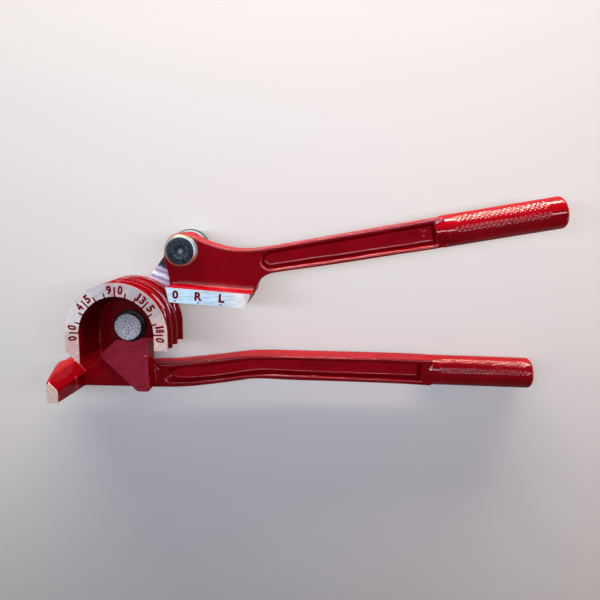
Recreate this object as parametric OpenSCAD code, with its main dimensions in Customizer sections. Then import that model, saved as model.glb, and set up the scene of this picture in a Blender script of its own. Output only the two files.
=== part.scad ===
// Manual tube bender: three-groove 180 degree former with a fixed handle,
// a swinging link and a forming handle that carries the sliding shoe.
// The former axis is +Z. Depths are measured down from the scale face.

/* [Former] */
// Outer radius of the former flanges, in mm
former_r = 30; // [28:0.5:32]
// Radius of the open recess at the scale face, in mm
recess_r = 22.1; // [20:0.1:23]
// Radius of the recess at its floor, in mm
floor_r = 19.6; // [18:0.1:21]
// Width of each flange, in mm
flange_w = 2.1; // [1.8:0.1:2.4]
// Outside diameter of the small tube, in mm
tube_a = 6; // [5:0.5:6]
// Outside diameter of the middle tube, in mm
tube_b = 8; // [7:0.5:8]
// Outside diameter of the large tube, in mm
tube_c = 10; // [9:0.5:10]
// Side clearance added to each tube groove, in mm
groove_gap = 0.2; // [0.1:0.05:0.3]
// Depth of the recess floor below the scale face, in mm
floor_d = 22.5; // [21:0.5:24]

/* [Handles] */
// Outside diameter of both grips, in mm
grip_dia = 19.4; // [18:0.2:19.4]
// Depth of the fixed grip's axis, in mm
low_grip_d = 43; // [42:0.5:44]
// Depth of the forming grip's axis, in mm
up_grip_d = 21; // [20:0.5:22]
// Thickness of the fixed handle's bar, in mm
low_bar_t = 15; // [12:0.5:15]
// Thickness of the forming handle's bar, in mm
up_bar_t = 14; // [12:0.5:15]
// Depth of the lightening channels in the bars, in mm
channel_t = 4.6; // [3:0.2:5]

/* [Link and pivots] */
// Distance between the two pivot axes, in mm
link_len = 59.3; // [59:0.1:60]
// Angle of the link at rest, in degrees from +X
link_angle = 53.5; // [50:0.5:56]
// Thickness of the link plate, in mm
link_t = 4.5; // [4:0.1:5]
// Diameter of both pivot pins, in mm
pin_dia = 10; // [9:0.5:10]
// Radial running clearance on the pins, in mm
run_gap = 0.05; // [0.02:0.01:0.1]
// Head diameter of the former pin, in mm
former_head_dia = 16.7; // [14:0.2:17]
// Head diameter of the handle pin, in mm
handle_head_dia = 19.9; // [18:0.2:20.6]

/* [Shoe] */
// Distance from the handle pivot to the shoe's working face, in mm
shoe_drop = 28.5; // [28:0.1:28.8]
// Slope of the working face at rest, in degrees
shoe_angle = -3.85; // [-6:0.05:-2]
// Height of the shoe's marked face, in mm
shoe_h = 8.4; // [6:0.5:9]

/* [Hidden] */
$fn = 96;
e = 0.01;

grip_r = grip_dia / 2;
// depth of the rest plane: the fixed grip and both pin ends touch it
base_d = low_grip_d + grip_r;
pin_r = pin_dia / 2;
ra = (tube_a + groove_gap) / 2;
rb = (tube_b + groove_gap) / 2;
rc = (tube_c + groove_gap) / 2;
da = flange_w + ra;
db = da + ra + flange_w + rb;
dc = db + rb + flange_w + rc;
drum_d = dc + rc + flange_w;
thrust_t = 1;
link_d0 = drum_d + thrust_t + 0.05;
link_d1 = link_d0 + link_t;
wash_t = 1.6;
wash_d = link_d1 + 0.05;
disc_d = wash_d + wash_t;
disc_t = 1.6;
nut_d = disc_d + disc_t;
nut_end_d = base_d - 1.6;
px = link_len * cos(link_angle);
py = link_len * sin(link_angle);
low_bar_d = 34.5;
up_bar_d = up_grip_d - up_bar_t / 2;
head_d = floor_d - 5;
hook_x = -36;

// a flat profile between two depths below the scale face
module slab(d0, d1) {
    translate([0, 0, base_d - d1]) linear_extrude(height = d1 - d0) children();
}

// a plain ring about the former axis, or about the handle axis
module ring(d0, d1, ro, ri) {
    slab(d0, d1) difference() { circle(r = ro); circle(r = ri); }
}
module at_handle() { translate([px, py, 0]) children(); }

// ------------------------------------------------------------ former
module former_outline() {
    difference() {
        union() {
            circle(r = former_r, $fn = 180);
            translate([-former_r, -10.6]) square([2 * former_r, 10.6]);
            polygon([[-former_r, -10.6], [-21.4, -19], [-19, -19], [-19, -9], [-former_r, -9]]);
        }
        // below the legs the circle is trimmed off
        translate([-19, -former_r - 1]) square([2 * former_r, former_r + 1 - 9.6]);
        translate([-former_r - 1, -former_r - 1]) square([former_r, former_r + 1 - 19]);
        polygon([[-former_r - 1, -10.6 - 1], [-former_r - 1, -20], [-21.4, -20], [-21.4, -19], [-former_r, -10.6]]);
    }
}

module tube_groove(d, r) {
    translate([0, 0, base_d - d]) {
        rotate_extrude(angle = 180, $fn = 180) translate([former_r, 0]) circle(r = r, $fn = 64);
        for (s = [-1, 1]) translate([s * former_r, 0, 0]) rotate([90, 0, 0])
            translate([0, 0, -0.02]) cylinder(r = r, h = 30, $fn = 64);
    }
}

module recess() {
    // drafted round wall, open at the scale face
    translate([0, 0, base_d - floor_d]) cylinder(r1 = floor_r, r2 = recess_r, h = floor_d, $fn = 180);
    translate([0, 0, base_d - e]) cylinder(r = recess_r, h = 1, $fn = 180);
    // drafted straight walls between the legs, open downwards
    translate([0, 0, base_d - floor_d]) rotate([90, 0, 0]) linear_extrude(height = 40)
        polygon([[-floor_r, 0], [floor_r, 0], [recess_r, floor_d], [recess_r, floor_d + 1],
                 [-recess_r, floor_d + 1], [-recess_r, floor_d]]);
}

// ------------------------------------------------------------ fixed handle
low_top = [[10, -29.2], [22, -28.7], [34, -27.3], [45, -26], [56, -24.5], [67, -22.9], [76, -22],
           [86, -21.7], [98, -21.8], [120, -21.9], [172, -22.3], [192, -23]];
low_bot = [[192, -39.3], [170, -38.6], [138, -38], [99, -37.5], [86, -37], [79, -36.6], [73, -36.9],
           [66, -38.2], [56, -40.2], [45, -41.9], [36, -43.1], [24, -44.1], [10, -44.5]];
module low_bar_outline() { polygon(concat(low_top, low_bot)); }

module low_channel() {
    polygon([[17, -35], [24, -32.6], [36, -30.8], [47, -29.3], [58, -27.8], [69, -26.3], [78, -25.4],
             [98, -25.1], [120, -25.2], [182, -25.8], [184, -31], [183, -35.4], [138, -34.8],
             [99, -34.2], [84, -33.6], [77, -33.6], [69, -34.8], [56, -37], [44, -38.8], [30, -40], [19, -40.2]]);
}

// body that ties the former, the hook and the handle together behind the tube path
module back_outline() {
    polygon([[-55.5, -44.5], [-55.5, -32.5], [-52, -30.2], [-44.5, -29], [-33, -25], [-26, -15.5],
             [-19, -14.5], [5.2, -14.5], [5.2, -29.2], [10.6, -29.6], [10.6, -44.5]]);
}

module boss_outline() {
    polygon([[-floor_r - 1, 0], [-floor_r - 1, -9], [-19.4, -21.2], [1.8, -41.8], [3.4, -43.1],
             [9.8, -43.3], [10.6, -42.2], [10.3, -9.6], [10.3, 0]]);
}

module hook() {
    // bar from the machined end at the scale face back to the body
    hull() {
        slab(0, 1) polygon([[-42.8, -42.6], [hook_x, -42.6], [hook_x, -34.6], [-42, -28.3], [-42.8, -28.3]]);
        slab(low_bar_d, low_bar_d + 1.5) polygon([[-55.5, -44.5], [hook_x, -44.5], [hook_x, -34.2], [-42.3, -27.5],
                            [-47.8, -27.3], [-52, -28.4], [-55.5, -32.5]]);
    }
}

module grip(s0, s1, r) {
    // a round bar along +X: plain collar next to the flat bar, then the full grip with a softened end
    rotate([0, 90, 0]) translate([0, 0, s0]) rotate_extrude()
        polygon([[0, 0], [r - 1.2, 0], [r - 0.25, 1], [r - 0.25, 5.6], [r, 6], [r, s1 - s0 - 3],
                 [r - 0.9, s1 - s0 - 0.9], [r - 3, s1 - s0], [0, s1 - s0]]);
}

module lower_casting() color([0.72, 0.04, 0.07]) {
    difference() {
        union() {
            slab(0, drum_d) former_outline();
            slab(floor_d, drum_d) boss_outline();
            slab(drum_d - 2, low_bar_d + 1) polygon([[-27, -13.8], [-21.4, -19], [-19, -21.4], [2, -40],
                [10.3, -40], [10.3, -14.5], [-19, -14.5]]);
            slab(low_bar_d, low_bar_d + low_bar_t) union() {
                back_outline();
                low_bar_outline();
            }
            hook();
            translate([0, -28.4, base_d - low_grip_d]) rotate([0, 0, -0.86]) grip(188, 254.9, grip_r);
        }
        recess();
        tube_groove(da, ra);
        tube_groove(db, rb);
        tube_groove(dc, rc);
        // lightening channels, front and back
        slab(low_bar_d - 1, low_bar_d + channel_t) low_channel();
        slab(low_bar_d + low_bar_t - channel_t, base_d + 1) difference() {
            low_channel();
            translate([184, -60]) square([100, 60]);
        }
        // swing room for the link behind the former
        slab(drum_d, base_d + 1) circle(r = 13.6);
        // pin hole
        translate([0, 0, -1]) cylinder(r = pin_r + run_gap, h = base_d + 2, $fn = 64);
    }
}

// ------------------------------------------------------------ pins and hardware
module pin_body(head_d0, head_h, head_r, bevel) {
    // domed and bevelled head, plain shank, chamfered tail on the rest plane
    translate([0, 0, 0]) rotate_extrude() polygon([
        [0, 0], [pin_r - 0.8, 0], [pin_r, 0.8], [pin_r, base_d - head_d0 - head_h],
        [head_r, base_d - head_d0 - head_h], [head_r, base_d - head_d0 - bevel],
        [head_r - 1.7 * bevel, base_d - head_d0], [0, base_d - head_d0]]);
}
module former_pin() color([0.66, 0.66, 0.68]) pin_body(head_d, 3.5, former_head_dia / 2, 0.4);
module handle_pin() color([0.36, 0.38, 0.44]) at_handle() pin_body(up_bar_d - 3, 3, handle_head_dia / 2, 1.2);

module former_head_washer() color([0.16, 0.16, 0.17]) ring(floor_d - 1.5, floor_d, 10.2, pin_r + 0.1);
module thrust_washer() ring(drum_d, drum_d + thrust_t, 10.4, pin_r + 0.1);
module rear_washer() ring(wash_d, wash_d + wash_t, 10.2, pin_r + 0.1);
module disc_washer() {
    // coned spring washer
    translate([0, 0, base_d - disc_d - disc_t]) rotate_extrude()
        polygon([[pin_r + 0.2, 0], [6.2, 0], [8.9, disc_t - 0.9], [8.9, disc_t], [7.9, disc_t], [pin_r + 0.2, 0.9]]);
}
module lock_nut() {
    h = nut_end_d - nut_d;
    difference() {
        union() {
            intersection() {
                slab(nut_d, nut_end_d - 2.4) circle(r = 17 / sqrt(3), $fn = 6);
                // chamfered hex corners
                translate([0, 0, base_d - nut_end_d]) rotate_extrude()
                    polygon([[0, 0], [8, 0], [8, 2], [9.9, 3.1], [9.9, h - 0.7], [8.6, h], [0, h]]);
            }
            // collar for the insert
            ring(nut_end_d - 2.5, nut_end_d, 7.6, 1);
        }
        slab(nut_d - 1, base_d + 1) circle(r = pin_r + run_gap);
        slab(nut_end_d - 1.9, nut_end_d - 0.3) circle(r = 6.5);
    }
}
module nut_insert() ring(nut_end_d - 1.9, nut_end_d - 0.3, 6.5, pin_r + run_gap);

module former_thrust_washer() color([0.82, 0.82, 0.84]) thrust_washer();
module former_rear_washer() color([0.75, 0.75, 0.77]) rear_washer();
module former_spring_washer() color([0.45, 0.45, 0.48]) disc_washer();
module former_nut() color([0.7, 0.7, 0.72]) lock_nut();
module former_nut_insert() color([0.25, 0.4, 0.75]) nut_insert();
module handle_thrust_washer() color([0.82, 0.82, 0.84]) at_handle() thrust_washer();
module handle_rear_washer() color([0.75, 0.75, 0.77]) at_handle() rear_washer();
module handle_spring_washer() color([0.45, 0.45, 0.48]) at_handle() disc_washer();
module handle_nut() color([0.7, 0.7, 0.72]) at_handle() lock_nut();
module handle_nut_insert() color([0.25, 0.4, 0.75]) at_handle() nut_insert();

// ------------------------------------------------------------ link
module link_plate() color([0.74, 0.75, 0.8]) {
    difference() {
        slab(link_d0, link_d1) {
            circle(r = 12);
            translate([px, py]) circle(r = 12);
            rotate(link_angle) translate([0, -10.4]) square([link_len, 20.8]);
        }
        for (p = [[0, 0], [px, py]]) translate([p[0], p[1], 0]) cylinder(r = pin_r + run_gap, h = base_d, $fn = 64);
    }
}

// ------------------------------------------------------------ forming handle
// outline of the plate and the bar, in the row's own X and Y
module up_outline() {
    polygon([[px, py], [24, 46.9], [27.4, 30.8], [27.9, 26], [78.8, 22.8], [80.4, 28.3],
             [83.2, 32.1], [87.8, 34.6], [94, 35.9], [106, 37.8], [118, 39.6], [141, 43.4], [165, 47.5],
             [184, 50.6], [193, 52.6], [190.5, 69.2], [183, 68.1], [165, 64.8], [141, 60.3], [117, 55.8],
             [105, 53.6], [93, 51.3], [86, 50.1], [80, 49.3], [73, 48.7], [66, 48.9], [60, 49.8],
             [54, 51.5], [49, 53.2], [44.4, 55.3], [px + 4.4, py + 10]]);
}
module up_channel() {
    polygon([[82.2, 43.4], [85.5, 47], [93, 48.4], [117, 52.8], [141, 57.2], [165, 61.7], [182.6, 65.1],
             [185.4, 59], [184.4, 54.2], [165, 50.8], [141, 46.6], [118, 42.8], [95, 39], [88, 37.4], [83.6, 39.2]]);
}

module in_shoe() { translate([px, py, 0]) rotate(shoe_angle) translate([0, -shoe_drop, 0]) children(); }

module upper_casting() color([0.72, 0.04, 0.07]) {
    difference() {
        union() {
            slab(up_bar_d, up_bar_d + up_bar_t) up_outline();
            // pivot boss down to the link
            at_handle() slab(up_bar_d, drum_d) circle(r = 10.6);
            // shoe block across all three grooves
            in_shoe() slab(0, drum_d) polygon([[-2, 0], [41.4, 0], [44.2, shoe_h], [-4.4, shoe_h]]);
            // rib that backs the shoe
            in_shoe() slab(up_bar_d + up_bar_t - 1, drum_d - 0.6) polygon([[-3, shoe_h - 2], [30, shoe_h - 2], [6.8, shoe_drop - 7.2], [-6.8, shoe_drop - 7.2]]);
            translate([0, 26.9, base_d - up_grip_d]) rotate([0, 0, 10.04]) grip(190, 263, grip_r);
        }
        for (g = [[da, ra], [db, rb], [dc, rc]])
            in_shoe() translate([-10, -(link_len - former_r - shoe_drop), base_d - g[0]]) rotate([0, 90, 0])
                cylinder(r = g[1], h = 60, $fn = 64);
        slab(up_bar_d - 1, up_bar_d + channel_t) up_channel();
        slab(up_bar_d + up_bar_t - channel_t, drum_d + 5) difference() {
            up_channel();
            translate([186, 0]) square([100, 100]);
        }
        // bush seat
        at_handle() translate([0, 0, -1]) cylinder(r = 6.5, h = base_d + 2, $fn = 64);
    }
}
module handle_bush() color([0.72, 0.56, 0.3]) at_handle() ring(up_bar_d + 0.1, drum_d - 0.1, 6.5, pin_r + run_gap);

lower_casting();
former_pin();
former_head_washer();
former_thrust_washer();
former_rear_washer();
former_spring_washer();
former_nut();
former_nut_insert();
link_plate();
handle_pin();
handle_thrust_washer();
handle_rear_washer();
handle_spring_washer();
handle_nut();
handle_nut_insert();
upper_casting();
handle_bush();
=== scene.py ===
import math

import bmesh
import bpy
import numpy as np
from mathutils import Matrix, Vector


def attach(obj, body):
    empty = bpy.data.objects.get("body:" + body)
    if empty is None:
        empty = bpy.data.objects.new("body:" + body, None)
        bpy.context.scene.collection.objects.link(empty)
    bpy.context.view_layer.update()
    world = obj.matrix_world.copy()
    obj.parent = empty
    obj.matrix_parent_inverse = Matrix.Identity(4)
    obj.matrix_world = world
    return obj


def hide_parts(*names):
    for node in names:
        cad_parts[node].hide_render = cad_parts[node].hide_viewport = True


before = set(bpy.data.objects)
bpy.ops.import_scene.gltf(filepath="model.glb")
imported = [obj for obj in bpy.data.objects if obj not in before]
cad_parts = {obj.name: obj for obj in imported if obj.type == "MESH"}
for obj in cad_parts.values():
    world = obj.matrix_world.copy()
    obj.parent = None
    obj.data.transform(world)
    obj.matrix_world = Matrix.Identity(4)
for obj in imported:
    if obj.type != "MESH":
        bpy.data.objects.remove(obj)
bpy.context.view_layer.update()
MM = 0.001

# ---------------------------------------------------------------- sizes shared with the CAD, in mm
BASE = 52.7          # height of the scale face above the rest plane
R = 30.0             # flange radius
RECESS, FLOOR_R, FLOOR_D = 22.1, 19.6, 22.5
GROOVES = [(5.2, 3.1), (14.5, 4.1), (25.8, 5.1)]
DRUM = 33.0
PX, PY = 59.3 * math.cos(math.radians(53.5)), 59.3 * math.sin(math.radians(53.5))
LOW_D, LOW_T = 34.5, 15.0
UP_D, UP_T = 14.0, 14.0
LINK0, LINK1 = 34.05, 38.55
SHOE_A = math.radians(-3.85)
SHOE_DROP = 28.5
LOW_AXIS = (-28.4, 43.0, math.radians(-0.86))
UP_AXIS = (26.9, 21.0, math.radians(10.04))


# ---------------------------------------------------------------- distance-field modelling
def poly_sd(x, y, pts):
    """Signed distance to a closed outline, negative inside."""
    pts = np.asarray(pts, float)
    best = np.full(np.shape(x), 1e12)
    inside = np.zeros(np.shape(x), bool)
    for (x0, y0), (x1, y1) in zip(pts, np.roll(pts, -1, axis=0)):
        ex, ey = x1 - x0, y1 - y0
        if ex == 0 and ey == 0:
            continue
        wx, wy = x - x0, y - y0
        t = np.clip((wx * ex + wy * ey) / (ex * ex + ey * ey), 0, 1)
        dx, dy = wx - ex * t, wy - ey * t
        best = np.minimum(best, dx * dx + dy * dy)
        if y0 != y1:
            inside ^= ((y0 <= y) != (y1 <= y)) & (x < ex * (y - y0) / ey + x0)
    return np.where(inside, -1.0, 1.0) * np.sqrt(best)


class Plan:
    """A plan outline as a table of signed distances, read back between its points."""

    def __init__(self, pts, pad=10.0, step=0.25):
        p = np.asarray(pts, float)
        self.lo, hi = p.min(0) - pad, p.max(0) + pad
        self.n = np.ceil((hi - self.lo) / step).astype(int) + 1
        self.step = step
        X, Y = np.meshgrid(*(self.lo[k] + np.arange(self.n[k]) * step for k in (0, 1)), indexing="ij")
        self.T = poly_sd(X, Y, p)

    def __call__(self, x, y):
        u, v = (x - self.lo[0]) / self.step, (y - self.lo[1]) / self.step
        cu, cv = np.clip(u, 0, self.n[0] - 1.001), np.clip(v, 0, self.n[1] - 1.001)
        i, j = cu.astype(np.int32), cv.astype(np.int32)
        a, b = cu - i, cv - j
        T = self.T
        d = (T[i, j] * (1 - a) + T[i + 1, j] * a) * (1 - b) + (T[i, j + 1] * (1 - a) + T[i + 1, j + 1] * a) * b
        return d + np.hypot(u - cu, v - cv) * self.step * 0.7


def curve(pts, n=8):
    """A smooth line through the points (centripetal Catmull-Rom)."""
    p = [np.asarray(q, float) for q in pts]
    ext = [2 * p[0] - p[1]] + p + [2 * p[-1] - p[-2]]
    out = []
    for i in range(1, len(ext) - 2):
        p0, p1, p2, p3 = ext[i - 1 : i + 3]
        t0 = 0.0
        t1 = t0 + np.linalg.norm(p1 - p0) ** 0.5
        t2 = t1 + np.linalg.norm(p2 - p1) ** 0.5
        t3 = t2 + np.linalg.norm(p3 - p2) ** 0.5
        for t in np.linspace(t1, t2, n, endpoint=False):
            a1 = (t1 - t) / (t1 - t0) * p0 + (t - t0) / (t1 - t0) * p1
            a2 = (t2 - t) / (t2 - t1) * p1 + (t - t1) / (t2 - t1) * p2
            a3 = (t3 - t) / (t3 - t2) * p2 + (t - t2) / (t3 - t2) * p3
            b1 = (t2 - t) / (t2 - t0) * a1 + (t - t0) / (t2 - t0) * a2
            b2 = (t3 - t) / (t3 - t1) * a2 + (t - t1) / (t3 - t1) * a3
            out.append(tuple((t2 - t) / (t2 - t1) * b1 + (t - t1) / (t2 - t1) * b2))
    out.append(tuple(p[-1]))
    return out


def both(a, b, r=0.0):
    """Where both solids are, with the meeting edge rounded to r."""
    if np.ndim(r) == 0 and r <= 0:
        return np.maximum(a, b)
    return np.minimum(-r, np.maximum(a, b)) + np.hypot(np.maximum(r + a, 0), np.maximum(r + b, 0))


def either(a, b, r=0.0):
    """Where either solid is, with a fillet of r where they meet."""
    if np.ndim(r) == 0 and r <= 0:
        return np.minimum(a, b)
    return np.maximum(r, np.minimum(a, b)) - np.hypot(np.maximum(r - a, 0), np.maximum(r - b, 0))


def cut(a, b, r=0.0):
    """a with b taken away, the new edge rounded to r."""
    return both(a, -b, r)


def surface(fn, lo, hi, h, fit=2):
    """Vertices and quads of fn = 0 by surface nets, each vertex then moved onto the field."""
    B = 4
    nb = [int(math.ceil((u - l) / (h * B))) for l, u in zip(lo, hi)]
    lo = np.asarray(lo, float)

    def near(idx, size):
        c = lo + (idx + 0.5) * (h * size)
        return np.abs(fn(*c.T)) < h * size * 0.87 * 1.35 + 0.3

    # blocks of 16 cells that may hold the surface, then blocks of 4
    big = np.argwhere(np.ones([-(-k // 4) for k in nb], bool))
    big = big[near(big, B * 4)]
    sub = np.argwhere(np.ones((4, 4, 4), bool))
    small = (big[:, None, :] * 4 + sub[None]).reshape(-1, 3)
    small = small[(small < np.array(nb)).all(1)]
    small = small[near(small, B)]
    n = [k * B + 1 for k in nb]
    corner = np.argwhere(np.ones((B + 1,) * 3, bool))
    want = np.zeros(n, bool)
    for c in corner:
        want[tuple((small * B + c).T)] = True
    pts = np.flatnonzero(want)
    del want
    V = np.ones(n, np.float32)
    for i in range(0, len(pts), 400000):
        ijk = np.stack(np.unravel_index(pts[i : i + 400000], n), 1)
        V.ravel()[pts[i : i + 400000]] = fn(*(lo + ijk * h).T)
    S = V < 0
    known = np.zeros(nb, bool)
    known[tuple(small.T)] = True
    known = np.repeat(np.repeat(np.repeat(known, B, 0), B, 1), B, 2)
    cells = np.zeros([k - 1 for k in n], np.uint8)
    for a in (0, 1):
        for b in (0, 1):
            for c in (0, 1):
                cells += S[a : n[0] - 1 + a, b : n[1] - 1 + b, c : n[2] - 1 + c]
    live = (cells > 0) & (cells < 8) & known
    idx = np.argwhere(live)
    number = np.full(live.shape, -1, np.int32)
    number[tuple(idx.T)] = np.arange(len(idx))
    total = np.zeros((len(idx), 3))
    count = np.zeros(len(idx))
    for axis in range(3):
        others = [k for k in range(3) if k != axis]
        for a in (0, 1):
            for b in (0, 1):
                o = np.zeros(3, int)
                o[others[0]], o[others[1]] = a, b
                p = idx + o
                q = p.copy()
                q[:, axis] += 1
                vp, vq = V[tuple(p.T)], V[tuple(q.T)]
                hit = (vp < 0) != (vq < 0)
                t = np.where(hit, vp / np.where(hit, vp - vq, 1), 0)
                pos = p.astype(float)
                pos[:, axis] += t
                total[hit] += pos[hit]
                count[hit] += 1
    P = total / count[:, None] * h + lo
    quads = []
    for axis in range(3):
        b, c = [(1, 2), (2, 0), (0, 1)][axis]
        sl = [slice(None)] * 3
        sl[axis] = slice(0, -1)
        sl[b] = slice(1, -1)
        sl[c] = slice(1, -1)
        up = list(sl)
        up[axis] = slice(1, None)
        s0, s1 = S[tuple(sl)], S[tuple(up)]
        for flip, mask in ((False, s0 & ~s1), (True, ~s0 & s1)):
            e = np.argwhere(mask)
            e[:, b] += 1
            e[:, c] += 1
            ring = []
            for db, dc in ((-1, -1), (0, -1), (0, 0), (-1, 0)):
                k = e.copy()
                k[:, b] += db
                k[:, c] += dc
                ring.append(number[tuple(k.T)])
            q = np.stack(ring, 1)
            q = q[(q >= 0).all(1)]
            quads.append(q[:, ::-1] if flip else q)
    Q = np.concatenate(quads)
    e = h * 0.08
    for _ in range(fit):
        f = fn(*P.T)
        g = np.stack([(fn(*(P + d).T) - f) / e for d in np.eye(3) * e], 1)
        g2 = np.maximum((g * g).sum(1), 0.2)
        move = (-f / g2)[:, None] * g
        length = np.linalg.norm(move, axis=1, keepdims=True)
        P += move * np.minimum(1, 0.6 * h / np.maximum(length, 1e-9))
    return P, Q


def mesh_object(name, verts, faces, body, replaces=(), smooth=True, sharp=None):
    """A mesh in millimetres, riding on a body."""
    me = bpy.data.meshes.new(name)
    me.from_pydata((np.asarray(verts) * MM).tolist(), [], [list(map(int, f)) for f in faces])
    me.validate()
    o = bpy.data.objects.new(name, me)
    bpy.context.collection.objects.link(o)
    finish_piece(o, body, replaces, smooth, sharp)
    return o


def fast_mesh(name, verts, quads):
    me = bpy.data.meshes.new(name)
    n, m = len(verts), len(quads)
    me.vertices.add(n)
    me.vertices.foreach_set("co", (np.asarray(verts) * MM).astype(np.float32).ravel())
    me.loops.add(m * 4)
    me.loops.foreach_set("vertex_index", np.asarray(quads, np.int32).ravel())
    me.polygons.add(m)
    me.polygons.foreach_set("loop_start", np.arange(0, m * 4, 4, dtype=np.int32))
    me.update(calc_edges=True)
    o = bpy.data.objects.new(name, me)
    bpy.context.collection.objects.link(o)
    return o


def finish_piece(o, body, replaces=(), smooth=True, sharp=None):
    me = o.data
    me.polygons.foreach_set("use_smooth", [smooth] * len(me.polygons))
    if smooth and sharp is not None:
        me.set_sharp_from_angle(angle=math.radians(sharp))
    me.update()
    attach(o, body)
    if replaces:
        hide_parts(*replaces)


def mill(o, z):
    """Cuts the casting flat at height z and returns the outlines of the cut, as vertex positions."""
    bm = bmesh.new()
    bm.from_mesh(o.data)
    bmesh.ops.bisect_plane(bm, geom=bm.verts[:] + bm.edges[:] + bm.faces[:], plane_co=(0, 0, z * MM), plane_no=(0, 0, 1), clear_outer=True, dist=3e-6)
    rim = [v for v in bm.verts if abs(v.co.z - z * MM) < 4e-6]
    bmesh.ops.remove_doubles(bm, verts=rim, dist=8e-6)
    for v in bm.verts:
        if abs(v.co.z - z * MM) < 4e-6:
            v.co.z = z * MM
    left = {e for e in bm.edges if e.is_boundary and all(abs(v.co.z - z * MM) < 1e-7 for v in e.verts)}
    bm.verts.index_update()
    loops = []
    while left:
        e = next(iter(sorted(left, key=lambda k: k.index)))
        left.discard(e)
        start, v = e.verts
        chain = [start, v]
        while v != start:
            nxt = [k for k in v.link_edges if k in left]
            if not nxt:
                break
            left.discard(nxt[0])
            v = nxt[0].other_vert(v)
            if v != start:
                chain.append(v)
        if len(chain) > 10:
            loops.append(chain)
    out = []
    for chain in loops:
        f = bm.faces.new(chain)
        f.normal_update()
        if f.normal.z < 0:
            f.normal_flip()
        out.append([v.co.copy() for v in chain])
    bmesh.ops.triangulate(bm, faces=[f for f in bm.faces if len(f.verts) > 4])
    bm.to_mesh(o.data)
    bm.free()
    return out


# ---------------------------------------------------------------- materials
def nodes_of(name):
    m = bpy.data.materials.new(name)
    m.use_nodes = True
    nt = m.node_tree
    return m, nt, nt.nodes["Principled BSDF"]


def add(nt, kind, **values):
    n = nt.nodes.new(kind)
    for k, v in values.items():
        if k in n.inputs:
            n.inputs[k].default_value = v
        else:
            setattr(n, k, v)
    return n


def noise(nt, vec, scale, detail=3.0, rough=0.5, stretch=None):
    if stretch:
        mp = add(nt, "ShaderNodeMapping")
        mp.inputs["Scale"].default_value = stretch
        nt.links.new(vec, mp.inputs["Vector"])
        vec = mp.outputs["Vector"]
    n = add(nt, "ShaderNodeTexNoise")
    n.inputs["Scale"].default_value = scale
    n.inputs["Detail"].default_value = detail
    n.inputs["Roughness"].default_value = rough
    nt.links.new(vec, n.inputs["Vector"])
    return n.outputs["Fac"]


def ramp(nt, fac, stops):
    r = add(nt, "ShaderNodeValToRGB")
    el = r.color_ramp.elements
    while len(el) > 1:
        el.remove(el[-1])
    el[0].position, el[0].color = stops[0][0], (*stops[0][1], 1) if len(stops[0][1]) == 3 else stops[0][1]
    for pos, col in stops[1:]:
        e = el.new(pos)
        e.color = (*col, 1) if len(col) == 3 else col
    nt.links.new(fac, r.inputs["Fac"])
    return r.outputs["Color"]


def bump(nt, height, strength, distance, normal=None):
    b = add(nt, "ShaderNodeBump")
    b.inputs["Strength"].default_value = strength
    b.inputs["Distance"].default_value = distance
    nt.links.new(height, b.inputs["Height"])
    if normal is not None:
        nt.links.new(normal, b.inputs["Normal"])
    return b.outputs["Normal"]


def object_coords(nt):
    return add(nt, "ShaderNodeTexCoord").outputs["Object"]


def grey(v):
    return (v, v, v)


def math_node(nt, op, a, b=None, clamp=False):
    n = nt.nodes.new("ShaderNodeMath")
    n.operation = op
    n.use_clamp = clamp
    for k, v in enumerate((a, b)):
        if v is None:
            continue
        if isinstance(v, (int, float)):
            n.inputs[k].default_value = v
        else:
            nt.links.new(v, n.inputs[k])
    return n.outputs[0]


def mix_colour(nt, fac, a, b, blend="MIX"):
    n = nt.nodes.new("ShaderNodeMix")
    n.data_type = "RGBA"
    n.blend_type = blend
    for key, v in (("Factor", fac), ("A", a), ("B", b)):
        sock = [k for k in n.inputs if k.name == key and k.type == ("VALUE" if key == "Factor" else "RGBA")][0]
        if isinstance(v, (int, float)):
            sock.default_value = v
        elif isinstance(v, tuple):
            sock.default_value = (*v, 1)
        else:
            nt.links.new(v, sock)
    return [k for k in n.outputs if k.type == "RGBA"][0]


def coords_mm(nt, co):
    """The three object coordinates, in millimetres."""
    x = nt.nodes.new("ShaderNodeSeparateXYZ")
    nt.links.new(co, x.inputs[0])
    return [math_node(nt, "MULTIPLY", k, 1000.0) for k in x.outputs]


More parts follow.
